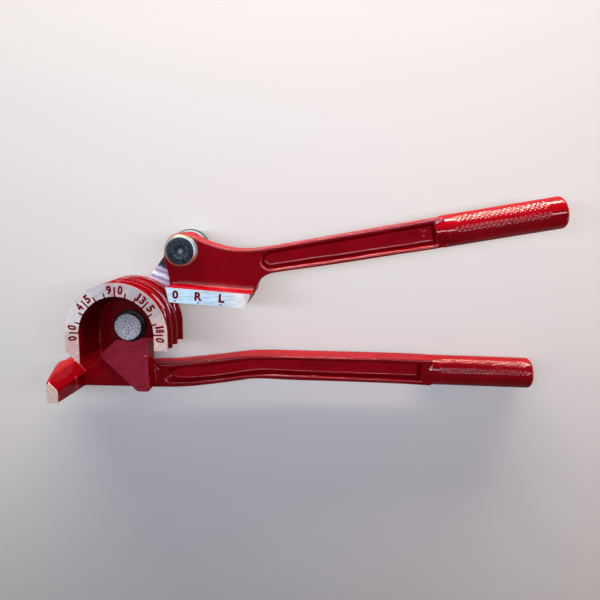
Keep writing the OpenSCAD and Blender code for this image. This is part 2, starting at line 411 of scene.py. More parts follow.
def make_paint(name, low=(0.100, 0.0002, 0.0020), high=(0.134, 0.0003, 0.0031), wave_up=0.32, pocket_sheen_and_shade=False, painted_light_floor_z=None, coat=0.24):
    """Gloss red over cast aluminium: a smooth wavy clear layer over a faintly pebbled casting."""
    m, nt, b = nodes_of(name)
    co = object_coords(nt)
    big = noise(nt, co, 90, 2, 0.5)
    col = ramp(nt, big, [(0.3, low), (0.7, high)])
    fine = noise(nt, co, 900, 2, 0.5)
    height = fine
    if pocket_sheen_and_shade:
        # the as-cast face of the boss, pinker, brighter and rougher than the rest: its colour is partly its own tone
        # and partly a painted sheen
        x, y, z = coords_mm(nt, co)
        level = math_node(nt, "SUBTRACT", 2.0, math_node(nt, "ABSOLUTE", math_node(nt, "SUBTRACT", z, BASE - FLOOR_D)), True)
        l1 = math_node(nt, "ADD", math_node(nt, "MULTIPLY", x, 0.884), -1.08)
        l2 = math_node(nt, "ADD", math_node(nt, "MULTIPLY", x, 0.07), -8.65)
        edge = math_node(nt, "MULTIPLY", math_node(nt, "SUBTRACT", math_node(nt, "MINIMUM", l1, l2), y), 1.6, True)
        mask = math_node(nt, "MULTIPLY", level, edge)
        patch_and_sheen = ramp(nt, noise(nt, co, 170, 3, 0.5), [(0.3, (0.165, 0.009, 0.020)), (0.7, (0.215, 0.014, 0.030))])
        # painted shade: the hole round the pin is darkened as if it sat in its own shade
        up = math_node(nt, "MAXIMUM", y, 0.0)
        dist = math_node(nt, "SQRT", math_node(nt, "ADD", math_node(nt, "MULTIPLY", x, x), math_node(nt, "MULTIPLY", up, up)))
        bore = math_node(nt, "MULTIPLY", math_node(nt, "MULTIPLY", math_node(nt, "SUBTRACT", 22.4, dist), 3.0, True), math_node(nt, "SUBTRACT", BASE - 0.9, z, True))
        bore = math_node(nt, "MULTIPLY", bore, math_node(nt, "ADD", y, 16.0, True))
        col = mix_colour(nt, bore, col, mix_colour(nt, 1.0, col, grey(0.55), "MULTIPLY"))
        col = mix_colour(nt, mask, col, patch_and_sheen)
    # painted light: the channel floors at this height are brightened, standing in for the light their walls shade off
    if painted_light_floor_z:
        z = coords_mm(nt, co)[2]
        near = math_node(nt, "MULTIPLY", math_node(nt, "SUBTRACT", 0.45, math_node(nt, "ABSOLUTE", math_node(nt, "SUBTRACT", z, painted_light_floor_z))), 5.0, True)
        col = mix_colour(nt, near, col, mix_colour(nt, 1.0, col, (1.55, 1.6, 1.5), "MULTIPLY"))
    nt.links.new(col, b.inputs["Base Color"])
    b.inputs["Specular IOR Level"].default_value = 0.0
    b.inputs["Coat Weight"].default_value = coat
    b.inputs["Coat IOR"].default_value = 1.8
    b.inputs["Coat Roughness"].default_value = 0.035
    rr = ramp(nt, noise(nt, co, 60, 3), [(0.35, grey(0.30)), (0.7, grey(0.42))])
    nt.links.new(rr, b.inputs["Roughness"])
    n0 = bump(nt, noise(nt, co, 230, 2, 0.45), wave_up, 0.0003)
    n1 = bump(nt, noise(nt, co, 560, 2, 0.5), wave_up * 1.9, 0.00012, n0)
    n2 = bump(nt, height, 0.10, 0.0001, n1)
    nt.links.new(n2, b.inputs["Normal"])
    nt.links.new(n1, b.inputs["Coat Normal"])
    return m


def make_machined(name, tint, angle, dark=0.80, mottle=(0.86, 1.0), rough=(0.36, 0.52), metallic=0.35, painted_light_turn=None, painted_light_slide=None):
    """Machined aluminium: fine cutter lines over a pale satin face. Optional colour factors paint light and reflections
    on it: by direction round the middle (degrees, colour factor), and along it (x in mm, factor).
    """
    m, nt, b = nodes_of(name)
    co = object_coords(nt)
    rot = add(nt, "ShaderNodeMapping")
    rot.inputs["Rotation"].default_value = (0, 0, angle)
    nt.links.new(co, rot.inputs["Vector"])
    lines = noise(nt, rot.outputs["Vector"], 1700, 3, 0.6, (0.05, 1, 1))
    coarse = noise(nt, rot.outputs["Vector"], 1000, 2, 0.5, (0.09, 1, 1))
    cloud = noise(nt, co, 260, 4, 0.6)
    c1 = ramp(nt, lines, [(0.32, tuple(dark * t for t in tint)), (0.60, tint)])
    c2 = ramp(nt, cloud, [(0.3, grey(mottle[0])), (0.7, grey(mottle[1]))])
    c = mix_colour(nt, 1.0, c1, c2, "MULTIPLY")
    # painted light and reflections: colour factors by direction round the middle
    if painted_light_turn:
        x, y, _ = coords_mm(nt, co)
        at = math_node(nt, "DIVIDE", math_node(nt, "ADD", math_node(nt, "ARCTAN2", math_node(nt, "MULTIPLY", x, -1.0), math_node(nt, "MULTIPLY", y, 1.0)), math.pi), 2 * math.pi)
        c = mix_colour(nt, 1.0, c, ramp(nt, at, [(((d + 90) % 360) / 360, f) for d, f in painted_light_turn]), "MULTIPLY")
    # painted light and reflections: colour factors along the face by x
    if painted_light_slide:
        x0, x1 = painted_light_slide[0][0], painted_light_slide[-1][0]
        at = math_node(nt, "DIVIDE", math_node(nt, "SUBTRACT", coords_mm(nt, co)[0], x0), x1 - x0, True)
        c = mix_colour(nt, 1.0, c, ramp(nt, at, [((p - x0) / (x1 - x0), f) for p, f in painted_light_slide]), "MULTIPLY")
    nt.links.new(c, b.inputs["Base Color"])
    b.inputs["Metallic"].default_value = metallic
    nt.links.new(ramp(nt, coarse, [(0.3, grey(rough[0])), (0.7, grey(rough[1]))]), b.inputs["Roughness"])
    n1 = bump(nt, lines, 0.30, 0.00005)
    n2 = bump(nt, coarse, 0.12, 0.00006, n1)
    nt.links.new(n2, b.inputs["Normal"])
    return m


def make_steel(name, col, rough, spots=500, strength=0.3, metallic=1.0, coat=0.0):
    m, nt, b = nodes_of(name)
    co = object_coords(nt)
    fleck = noise(nt, co, spots, 3, 0.6)
    c = ramp(nt, fleck, [(0.35, tuple(0.7 * t for t in col)), (0.65, col)])
    nt.links.new(c, b.inputs["Base Color"])
    b.inputs["Metallic"].default_value = metallic
    b.inputs["Coat Weight"].default_value = coat
    r = ramp(nt, noise(nt, co, spots * 0.4, 2), [(0.3, grey(rough * 0.8)), (0.7, grey(min(1, rough * 1.3)))])
    nt.links.new(r, b.inputs["Roughness"])
    nt.links.new(bump(nt, fleck, strength, 0.00006), b.inputs["Normal"])
    return m


def turned(nt, x, y, stops, cx=0.0, cy=0.0):
    """Colour by direction from a centre: stops are (degrees, colour), degrees from -90 to 270."""
    dx = math_node(nt, "SUBTRACT", x, cx)
    dy = math_node(nt, "SUBTRACT", y, cy)
    a = math_node(nt, "ARCTAN2", math_node(nt, "MULTIPLY", dx, -1.0), dy)
    at = math_node(nt, "DIVIDE", math_node(nt, "ADD", a, math.pi), 2 * math.pi)
    dist = math_node(nt, "SQRT", math_node(nt, "ADD", math_node(nt, "MULTIPLY", dx, dx), math_node(nt, "MULTIPLY", dy, dy)))
    return ramp(nt, at, [(((d + 90) % 360) / 360, f) for d, f in stops]), dist


def make_bevel(name, cx, cy):
    """Bevel round a bolt head: bare steel with painted reflections, coloured straw, bronze, red and blue-grey by
    direction round the head, brighter where it meets the face.
    """
    m, nt, b = nodes_of(name)
    co = object_coords(nt)
    x, y, _ = coords_mm(nt, co)
    # painted reflections: colour by direction round the head, for the rim of the bevel
    outer_painted_reflection, dist = turned(nt, x, y, [(-88, (0.15, 0.05, 0.045)), (-60, (0.25, 0.05, 0.04)), (-30, (0.50, 0.15, 0.10)), (0, (0.15, 0.24, 0.31)), (30, (0.17, 0.205, 0.215)), (60, (0.085, 0.070, 0.050)),
                                    (90, (0.095, 0.070, 0.048)), (120, (0.17, 0.155, 0.13)), (150, (0.40, 0.42, 0.40)), (180, (0.29, 0.26, 0.22)), (210, (0.60, 0.36, 0.22)), (240, (0.52, 0.30, 0.25)),
                                    (268, (0.18, 0.06, 0.055))], cx, cy)
    # painted reflections and highlight: colour by direction for the part of the bevel next to the face
    inner, _ = turned(nt, x, y, [(-88, (0.50, 0.44, 0.36)), (-30, (0.42, 0.36, 0.30)), (0, (0.42, 0.56, 0.60)), (60, (0.20, 0.28, 0.30)), (110, (0.15, 0.20, 0.215)), (150, (0.12, 0.14, 0.16)),
                                 (200, (0.30, 0.28, 0.24)), (268, (0.50, 0.44, 0.36))], cx, cy)
    near = math_node(nt, "MULTIPLY", math_node(nt, "SUBTRACT", 8.85, dist), 3.0, True)
    fleck = noise(nt, co, 700, 3, 0.6)
    c = mix_colour(nt, 1.0, mix_colour(nt, near, outer_painted_reflection, inner), ramp(nt, fleck, [(0.35, grey(0.75)), (0.65, grey(1.0))]), "MULTIPLY")
    nt.links.new(c, b.inputs["Base Color"])
    b.inputs["Metallic"].default_value = 1.0
    nt.links.new(ramp(nt, noise(nt, co, 240, 2), [(0.3, grey(0.40)), (0.7, grey(0.55))]), b.inputs["Roughness"])
    nt.links.new(bump(nt, fleck, 0.25, 0.00006), b.inputs["Normal"])
    return m


def make_plain(name, col, rough, scale=700, gloss=0.5):
    m, nt, b = nodes_of(name)
    co = object_coords(nt)
    f = noise(nt, co, scale, 2)
    nt.links.new(ramp(nt, f, [(0.3, tuple(0.85 * t for t in col)), (0.7, col)]), b.inputs["Base Color"])
    b.inputs["Roughness"].default_value = rough
    b.inputs["Specular IOR Level"].default_value = gloss
    nt.links.new(bump(nt, f, 0.2, 0.00004), b.inputs["Normal"])
    return m


def make_scratched(name, cx, cy):
    """Blued steel face, worn to pale grey specks and scratches towards its middle."""
    m, nt, b = nodes_of(name)
    co = object_coords(nt)
    x, y, _ = coords_mm(nt, co)
    dx = math_node(nt, "SUBTRACT", x, cx)
    dy = math_node(nt, "SUBTRACT", y, cy)
    dist = math_node(nt, "SQRT", math_node(nt, "ADD", math_node(nt, "MULTIPLY", dx, dx), math_node(nt, "MULTIPLY", dy, dy)))
    middle = math_node(nt, "SUBTRACT", 1.25, math_node(nt, "DIVIDE", dist, 2.5), True)
    ring = math_node(nt, "SUBTRACT", 1.0, math_node(nt, "DIVIDE", math_node(nt, "ABSOLUTE", math_node(nt, "SUBTRACT", dist, 4.2)), 1.4), True)
    inner = math_node(nt, "ADD", middle, math_node(nt, "MULTIPLY", ring, 0.72))
    base = ramp(nt, noise(nt, co, 500, 4, 0.65), [(0.40, (0.0015, 0.002, 0.004)), (0.60, (0.012, 0.020, 0.032))])
    wear = math_node(nt, "MULTIPLY", noise(nt, co, 1500, 5, 0.7), math_node(nt, "ADD", inner, 0.38))
    pale = ramp(nt, wear, [(0.53, grey(0.0)), (0.63, grey(1.0))])
    col = mix_colour(nt, pale, base, (0.085, 0.14, 0.20))
    nt.links.new(col, b.inputs["Base Color"])
    b.inputs["Specular IOR Level"].default_value = 0.09
    nt.links.new(ramp(nt, pale, [(0.0, grey(0.30)), (1.0, grey(0.5))]), b.inputs["Roughness"])
    nt.links.new(bump(nt, noise(nt, co, 1300, 4, 0.7), 0.35, 0.00008), b.inputs["Normal"])
    return m


def make_speckled(name, tint, metallic):
    """Face turned in the lathe: faint rings under a scatter of fine bright and dark specks."""
    m, nt, b = nodes_of(name)
    co = object_coords(nt)
    x, y, _ = coords_mm(nt, co)
    dist = math_node(nt, "SQRT", math_node(nt, "ADD", math_node(nt, "MULTIPLY", x, x), math_node(nt, "MULTIPLY", y, y)))
    rings = math_node(nt, "ADD", math_node(nt, "MULTIPLY", math_node(nt, "SINE", math_node(nt, "MULTIPLY", dist, 9.0)), 0.5), 0.5)
    fleck = noise(nt, co, 1220, 5, 0.75)
    c1 = ramp(nt, fleck, [(0.42, tuple(0.09 * t for t in tint)), (0.50, tuple(0.42 * t for t in tint)), (0.58, tint)])
    # painted shade: the face darkens towards its top (+y)
    painted_shade_fall = math_node(nt, "DIVIDE", math_node(nt, "ADD", y, 8.4), 16.8, True)
    c1 = mix_colour(nt, 1.0, c1, ramp(nt, painted_shade_fall, [(0.0, grey(1.0)), (0.45, grey(0.70)), (1.0, grey(0.36))]), "MULTIPLY")
    c = mix_colour(nt, 1.0, c1, ramp(nt, rings, [(0.0, grey(0.90)), (1.0, grey(1.0))]), "MULTIPLY")
    nt.links.new(c, b.inputs["Base Color"])
    b.inputs["Metallic"].default_value = metallic
    nt.links.new(ramp(nt, fleck, [(0.3, grey(0.52)), (0.7, grey(0.34))]), b.inputs["Roughness"])
    n1 = bump(nt, rings, 0.15, 0.00005)
    nt.links.new(bump(nt, fleck, 0.45, 0.00008, n1), b.inputs["Normal"])
    return m


def make_link():
    """Zinc plate coloured with painted reflections and shade: dark slate towards the handle pin, wavy lilac bands and a
    hatch of painted groove reflections below, and a pale end past the handle pin, darker at its edge.
    """
    m, nt, b = nodes_of("zinc_plate")
    co = object_coords(nt)
    x, y, _ = coords_mm(nt, co)
    ripple = noise(nt, co, 120, 3, 0.6, (1.0, 2.4, 1.0))
    v = math_node(nt, "ADD", math_node(nt, "ADD", y, math_node(nt, "MULTIPLY", x, 0.30)), math_node(nt, "MULTIPLY", ripple, 5.0))
    pos = math_node(nt, "DIVIDE", math_node(nt, "SUBTRACT", v, 30.0), 42.0, True)
    # painted reflections and shade: dark slate near the handle pin, lilac bands lower down where the plate faces the
    # drum
    painted_reflections = ramp(nt, pos, [(0.0, (0.20, 0.16, 0.26)), (0.08, (0.56, 0.52, 0.74)), (0.137, (0.15, 0.12, 0.22)), (0.183, (0.56, 0.60, 0.74)), (0.24, (0.13, 0.10, 0.19)),
                          (0.286, (0.36, 0.32, 0.46)), (0.318, (0.05, 0.05, 0.085)), (0.345, (0.009, 0.012, 0.019)), (1.0, (0.007, 0.009, 0.014))])
    # painted reflection of the drum's grooves: a diagonal hatch on the low part of the plate
    painted_groove_reflection = math_node(nt, "SINE", math_node(nt, "ADD", math_node(nt, "MULTIPLY", x, 4.6), math_node(nt, "MULTIPLY", y, 2.8)))
    low = math_node(nt, "MULTIPLY", math_node(nt, "SUBTRACT", 0.14, pos), 12.0, True)
    painted_reflections = mix_colour(nt, low, painted_reflections, mix_colour(nt, 1.0, painted_reflections, ramp(nt, math_node(nt, "ADD", math_node(nt, "MULTIPLY", painted_groove_reflection, 0.5), 0.5), [(0.0, grey(0.45)), (1.0, grey(1.0))]), "MULTIPLY"))
    dx = math_node(nt, "SUBTRACT", x, PX)
    dy = math_node(nt, "SUBTRACT", y, PY)
    out = math_node(nt, "SQRT", math_node(nt, "ADD", math_node(nt, "MULTIPLY", dx, dx), math_node(nt, "MULTIPLY", dy, dy)))
    # past the handle pin the plate is pale, darker at its very edge; part of the painted reflections
    end = ramp(nt, math_node(nt, "DIVIDE", out, 12.0, True), [(0.0, (0.20, 0.26, 0.28)), (0.90, (0.27, 0.35, 0.37)), (0.93, (0.20, 0.26, 0.27)), (0.965, (0.035, 0.05, 0.05))])
    far = math_node(nt, "MULTIPLY", math_node(nt, "ADD", math_node(nt, "ADD", math_node(nt, "MULTIPLY", dx, 0.9), dy), -3.0), 0.5, True)
    painted_reflections = mix_colour(nt, far, painted_reflections, end)
    grain = ramp(nt, noise(nt, co, 2000, 3, 0.6, (1.0, 0.15, 1.0)), [(0.35, grey(0.82)), (0.65, grey(1.0))])
    nt.links.new(mix_colour(nt, 1.0, painted_reflections, grain, "MULTIPLY"), b.inputs["Base Color"])
    b.inputs["Specular IOR Level"].default_value = 0.06
    nt.links.new(ramp(nt, ripple, [(0.3, grey(0.24)), (0.7, grey(0.36))]), b.inputs["Roughness"])
    nt.links.new(bump(nt, ripple, 0.15, 0.0003), b.inputs["Normal"])
    return m


PAINT = make_paint("red_paint", painted_light_floor_z=BASE - UP_D - 4.6)
CAST = make_paint("red_paint_casting", pocket_sheen_and_shade=True, painted_light_floor_z=BASE - LOW_D - 4.6)
GRIP = make_paint("red_paint_grip", (0.112, 0.0003, 0.0020), (0.145, 0.0005, 0.0031), 0.01, coat=0.22)
# painted light and reflections on the scale ring: colour factors by direction round it, warm and pinkish in some parts,
# dimmer or brighter in others
RING_PAINTED_LIGHT = [(-80, (1.07, 0.84, 0.75)), (-2, (1.09, 0.86, 0.78)), (10, (1.07, 0.81, 0.76)), (22, (0.82, 0.69, 0.66)), (34, (0.67, 0.58, 0.57)), (46, (0.66, 0.57, 0.57)),
        (58, (0.64, 0.55, 0.58)), (70, (0.63, 0.60, 0.60)), (82, (0.72, 0.60, 0.62)), (94, (0.76, 0.58, 0.61)), (106, (0.77, 0.74, 0.79)), (118, (0.79, 0.79, 0.81)),
        (130, (1.06, 1.02, 1.01)), (142, (1.04, 1.00, 0.99)), (154, (1.13, 1.13, 1.14)), (166, (1.15, 1.13, 1.17)), (178, (1.10, 0.97, 0.91)), (190, (1.09, 0.79, 0.71)), (240, (1.04, 0.77, 0.70))]
RING = make_machined("machined_scale", (0.50, 0.483, 0.482), math.radians(-38), 0.70, (0.84, 1.0), painted_light_turn=RING_PAINTED_LIGHT)
# painted light and reflections on the shoe face: bluish towards the left, warm and bright near its right end
SHOE_FACE = make_machined("machined_shoe", (0.44, 0.53, 0.60), math.radians(-4), 0.68, (0.82, 1.0),
                          painted_light_slide=[(32, (0.92, 1.12, 1.14)), (42, (0.87, 1.05, 1.12)), (57, (0.92, 1.03, 1.05)), (66, (1.01, 0.98, 0.96)), (70, (1.26, 1.12, 1.02)),
                                 (74, (1.40, 1.12, 0.95)), (76, (1.02, 0.76, 0.66)), (80, (0.92, 0.64, 0.52))])
HOOK_END = make_machined("machined_hook", (0.58, 0.46, 0.39), math.radians(50), 0.76, (0.82, 1.0))
PIN = make_speckled("pin_face", (0.80, 0.80, 0.87), 0.3)
STEEL = make_steel("pin_steel", (0.55, 0.53, 0.52), 0.30, 420, 0.3)
LINK = make_link()
ZINC = make_steel("zinc", (0.17, 0.21, 0.22), 0.28, 600, 0.15, 0.2)
SPRING = make_steel("spring_steel", (0.30, 0.30, 0.33), 0.3, 700, 0.2)
BEVEL = make_bevel("bare_bevel", PX, PY)
BLUED = make_scratched("blued_face", PX, PY)
# near-black washer under the former pin head: partly its own colour and partly painted shade round the head
BLACK = make_plain("black_washer_and_painted_shade", (0.005, 0.005, 0.006), 0.34, 700, 0.15)
NYLON = make_plain("nylon", (0.03, 0.10, 0.42), 0.4)
BRONZE = make_steel("bronze", (0.62, 0.44, 0.22), 0.35, 600, 0.3)


# ---------------------------------------------------------------- outlines
LOW_TOP = curve([(6, -29.6), (10, -29.2), (22, -28.7), (34, -27.3), (45, -26), (56, -24.5), (67, -22.9), (76, -22.0),
                 (86, -21.7), (98, -21.8), (120, -21.9), (172, -22.3), (191, -22.9)])
LOW_BOT = curve([(191, -39.4), (170, -38.6), (138, -38), (99, -37.6), (86, -37.2), (79, -37.1), (73, -37.4),
                 (66, -38.6), (56, -40.3), (45, -41.9), (36, -43.1), (24, -44.0), (10, -44.4), (6, -44.4)])
LOW_BAR = Plan(LOW_TOP + LOW_BOT)
LOW_RIM = Plan(curve([(17.0, -33.2), (19.2, -31.9), (21.5, -31.4), (24.2, -31.1), (27.3, -30.8), (33.6, -30.0), (40, -29.4), (46, -28.8), (52.4, -27.9), (62, -26.6),
                      (71, -24.9), (78, -24.2), (87, -23.9), (98, -23.85), (120, -24.0), (187.2, -24.8)], 5) +
               curve([(188.6, -36.5), (175, -36.3), (162, -36.05), (152.7, -35.85), (138, -35.5), (124, -35.1), (110, -34.85), (99, -34.7), (87, -34.45),
                      (77.5, -34.7), (71.2, -35.3), (61.8, -36.5), (52.4, -38.25), (46.1, -39.2), (39.9, -39.8), (33.6, -40.3), (27.3, -40.65), (21.5, -40.8),
                      (18.6, -40.5), (16.8, -39.3), (16.2, -37.4), (16.3, -35.2)], 5))
LOW_FLOOR = Plan(curve([(22.3, -34.2), (23.3, -32.9), (24.8, -32.4), (27.3, -32.1), (33.6, -31.3), (40, -30.7), (46, -30.1), (52.4, -29.2), (62, -27.9),
                        (71, -26.2), (78, -25.5), (87, -25.2), (98, -25.15), (120, -25.3), (187.2, -26.1)], 5) +
                 curve([(188.6, -34.3), (138, -33.6), (99, -33.0), (84, -32.4), (77.5, -32.9), (71.2, -33.65), (61.8, -35.25), (52.4, -36.85), (46.1, -37.8),
                        (39.9, -38.35), (33.6, -39.1), (27.3, -39.35), (24.4, -39.2), (22.9, -38.6), (22.2, -37.4)], 5))
BACK = Plan([(-55.5, -44.4), (-55.5, -33.0), (-54.6, -30.7), (-52, -28.9), (-45.8, -27.3), (-35, -25.4), (-26, -15.5), (-19, -14.6),
             (4.0, -14.6), (5.0, -15.6), (5.0, -29.4), (10.6, -30.0), (10.6, -44.4)])
BOSS = Plan([(-20.6, 2), (-20.6, -9), (-19.6, -20.8), (-18.9, -21.8), (1.4, -41.6), (2.5, -42.6), (3.8, -43.1), (9.2, -43.2),
             (10.2, -42.8), (10.5, -41.8), (10.0, -26), (10.0, -9.6), (10.0, 2)])
TIE = Plan([(-27, -14.2), (-21.6, -18.8), (-19, -21.2), (1.5, -39.8), (9.8, -39.8), (9.8, -15), (-19, -15)])
UP_TOP = curve([(190.5, 69.2), (183, 68.1), (165, 64.8), (141, 60.3), (117, 55.8), (105, 53.6), (93, 51.3), (86, 50.1),
                (80, 49.3), (73, 48.7), (66, 48.9), (60, 49.8), (54, 51.5), (49, 53.2), (44.4, 55.3), (PX + 4.3, PY + 9.65)])
UP_BOT = [(24.4, 45.6), (24.9, 42.5), (27.4, 30.8), (27.9, 25.5)] + curve([(79.0, 23.4), (80.4, 28.3), (83.2, 32.1), (87.8, 34.6), (94, 35.9),
                (106, 37.8), (118, 39.6), (141, 43.4), (165, 47.5), (184, 50.6), (193, 52.6)])
UP_BAR = Plan(UP_TOP + [(PX, PY + 8), (PX, PY)] + UP_BOT)
UP_RIM = Plan(curve([(83.0, 45.0), (85.9, 47.3), (93, 48.8), (117, 53.2), (141, 57.6), (165, 62.1), (186.0, 66.0)]) +
              curve([(188.6, 53.2), (178.2, 51.6), (172.5, 50.7), (161, 49.0), (149.4, 47.1), (137.8, 45.05), (126.1, 43.15), (114.4, 41.15), (102.6, 39.2),
                     (95, 38.1), (90.8, 37.35), (87.6, 37.1), (84.6, 38.2), (82.4, 41.4)]))
UP_FLOOR = Plan(curve([(84.9, 44.6), (86.9, 45.9), (93.4, 47.45), (117, 51.85), (141, 56.3), (165, 60.8), (186.0, 64.7)]) +
                curve([(188.6, 55.4), (178.2, 53.7), (172.5, 52.7), (161, 50.8), (149.4, 48.95), (137.8, 47.05), (126.1, 45.15), (114.4, 43.45), (102.6, 41.5),
                       (96.6, 40.5), (90.8, 39.55), (88.0, 39.0), (85.6, 39.8), (83.8, 41.9)]))
LEGS = Plan([(-R, 12), (-R, -10.6), (-21.6, -19.0), (-15, -19.0), (-15, -9.6), (R, -9.6), (R, 12)])


def u_line(x, y):
    """Distance from the former's axis, measured straight sideways below it."""
    return np.where(y >= 0, np.hypot(x, y), np.abs(x))


def along(x, y, axis):
    """Distance along a grip's axis, and across it in plan."""
    y0, _, a = axis
    return x * math.cos(a) + (y - y0) * math.sin(a), (y - y0) * math.cos(a) - x * math.sin(a)


def bar(outline, rim, floor_, d, d0, t, s, wall, draft, nose, edge=1.0, deep=4.6):
    """Flat bar between two depths, its end rounded into the grip, with a channel in each face narrowing from rim to floor."""
    body = both(outline, np.abs(d - (d0 + t / 2)) - t / 2, edge)
    body = both(body, s - nose, 2.6)
    for face in (d - d0, d0 + t - d):
        k = np.clip(face / deep, -0.2, 1)
        room = both(rim * (1 - k) + floor_ * k, s - wall + face * draft, 0.5)
        body = cut(body, both(room, face - deep, 0.9), 0.65)
    return body


def collar(d, s, w, axis, wall, end):
    """Round start of a grip: it swells from the channel's end wall to the full diameter."""
    swell = np.clip((s - wall) / 6.5, 0, 1)
    q = np.hypot(w, d - axis[1])
    return both(q - 8.5 - 1.08 * swell * swell * (3 - 2 * swell), np.maximum(wall - s, s - end), 0.35)


WAVES = [(0.62, 0.3, 1.1), (-0.35, 0.75, 2.7), (1.4, 0.8, 0.4), (0.9, -1.3, 3.9), (-1.9, 0.7, 5.2), (0.3, 2.3, 1.9), (2.6, -1.1, 0.8), (1.7, 2.4, 4.4),
         (-2.9, -1.6, 2.2), (3.4, 0.6, 5.9), (-0.8, 3.5, 3.1)]


def lumps(x, y):
    """Sand marks of an as-cast face, about a tenth of a millimetre high."""
    total = 0
    for a, b, c in WAVES:
        total = total + np.sin(a * x + b * y + c + 0.8 * np.sin(0.41 * y - 0.3 * a * x)) * 0.055 / math.hypot(a, b) ** 0.5
    return total * 0.75


def lower_head(x, y, d):
    ul = u_line(x, y)
    plan = np.where(y >= 0, np.hypot(x, y) - R, LEGS(x, y + 0.05 * np.clip(d, 0, 24)))
    f = both(plan, d - DRUM, 0.5)
    for gd, gr in GROOVES:
        f = cut(f, np.hypot(ul - R, d - gd) - gr, 0.3)
    lump = lumps(x, y) * np.clip((-8 - y) / 6, 0, 1)
    boss = both(BOSS(x, y), np.abs(d - 28.25) - 5.75 - lump, 0.4)
    pr = RECESS + (FLOOR_R - RECESS) * np.clip(d, 0, FLOOR_D) / FLOOR_D
    f = cut(f, both(both(ul - pr, d - FLOOR_D, 1.0), -d, 0.0), 0.8)
    f = either(f, boss, 0.4)
    f = either(f, both(TIE(x, y), np.abs(d - 33) - 2.5, 0.0), 0.0)
    return f


def hook_field(x, y, d):
    k = np.clip(d, 0, 34) / 34.0
    chamfer = ((x + 39.2) * 0.729 + (y + 31.35) * 0.684) - 0.35 * (k - 1)
    top = y + 28.4 - 1.0 * k - 0.12 * k * np.clip(x + 45, -12, 0)
    left = (-(x + 42.7) - 12.8 * k) * 0.93
    bottom = -(y + 42.5 + 1.8 * k)
    hook = both(both(top, left, 2.6 + 1.6 * k), chamfer, 0.5 + 3.2 * (1 - k) ** 12)
    hook = both(hook, x + 36.0, 0.6)
    hook = both(hook, bottom, 0.8)
    hook = both(hook, d - 36.5, 0.5)
    return np.maximum(hook, both(top, -d - 0.9, 3.2))


def lower_field(x, y, z):
    d = BASE - z
    s, w = along(x, y, LOW_AXIS)
    out = bar(LOW_BAR(x, y), LOW_RIM(x, y), LOW_FLOOR(x, y), d, LOW_D, LOW_T, s, 183.7, 0.5, 191.8, 0.7)
    m = x < 46
    xm, ym, dm = x[m], y[m], d[m]
    back = both(BACK(xm, ym), np.abs(dm - (LOW_D + LOW_T / 2)) - LOW_T / 2, 1.0)
    body = either(out[m], back, 0.4)
    fillet = 0.8 + 3.2 * np.clip((xm - 7) / 3, 0, 1) * np.clip((-30.6 - ym) / 1.5, 0, 1) * np.clip((ym + 42.4) / 1.5, 0, 1)
    f = either(lower_head(xm, ym, dm), body, fillet)
    f = either(f, hook_field(xm, ym, dm), 1.1)
    f = both(both(f, -55.42 - xm, 0.3), -44.42 - ym, 0.3)
    # swing room behind the former, and the pin hole
    f = cut(f, both(np.hypot(xm, ym) - 13.6, -(dm - DRUM), 0.0), 0.5)
    out[m] = cut(f, np.hypot(xm, ym) - 5.05, 0.3)
    m = x > 170
    out[m] = either(out[m], collar(d[m], s[m], w[m], LOW_AXIS, 183.7, 192.6), 0.5)
    return out


def shoe_coords(x, y):
    c, s = math.cos(SHOE_A), math.sin(SHOE_A)
    dx, dy = x - PX, y - PY
    return dx * c + dy * s, -dx * s + dy * c + SHOE_DROP


SHOE = Plan([(-2.0, 0), (41.0, 0), (42.6, 2.2), (44.2, 7.4), (43.8, 8.35), (-4.4, 8.35)])
RIB = Plan([(-3.6, 6), (30, 6), (6.8, 21.3), (-6.8, 21.3)])


def upper_field(x, y, z):
    d = BASE - z
    s, w = along(x, y, UP_AXIS)
    out = bar(UP_BAR(x, y), UP_RIM(x, y), UP_FLOOR(x, y), d, UP_D, UP_T, s, 187.0, 0.3, 193.6, 0.7)
    m = x < 110
    xm, ym, dm = x[m], y[m], d[m]
    rr = np.hypot(xm - PX, ym - PY)
    body = either(out[m], both(rr - 10.6, np.abs(dm - (UP_D + DRUM) / 2) - (DRUM - UP_D) / 2, 0.9), 0.0)
    t, h = shoe_coords(xm, ym)
    body = either(body, both(RIB(t, h), np.abs(dm - 29.9) - 2.5, 0.8), 1.5)
    body = either(body, both(SHOE(t, h), dm - DRUM, 0.6), 0.9)
    for gd, gr in GROOVES:
        body = cut(body, np.hypot(h + 0.8, dm - gd) - gr, 0.3)
    out[m] = cut(body, rr - 6.5, 0.3)
    m = x > 170
    out[m] = either(out[m], collar(d[m], s[m], w[m], UP_AXIS, 187.0, 194.8), 0.5)
    return out


H = 0.4


def plate_from_loop(name, loop, z0, z1):
    """A thin plate with the outline of the loop, from z0 up to z1, in millimetres."""
    bm = bmesh.new()
    pts = []
    for p in loop:
        if not pts or (p - pts[-1]).length > 2e-5:
            pts.append(p)
    low = [bm.verts.new((p.x, p.y, z0 * MM)) for p in pts]
    high = [bm.verts.new((p.x, p.y, z1 * MM)) for p in pts]
    n = len(pts)
    bm.faces.new(low[::-1])
    bm.faces.new(high)
    for i in range(n):
        bm.faces.new((low[i], low[(i + 1) % n], high[(i + 1) % n], high[i]))
    bmesh.ops.recalc_face_normals(bm, faces=bm.faces)
    me = bpy.data.meshes.new(name)
    bm.to_mesh(me)
    bm.free()
    o = bpy.data.objects.new(name, me)
    bpy.context.collection.objects.link(o)
    return o


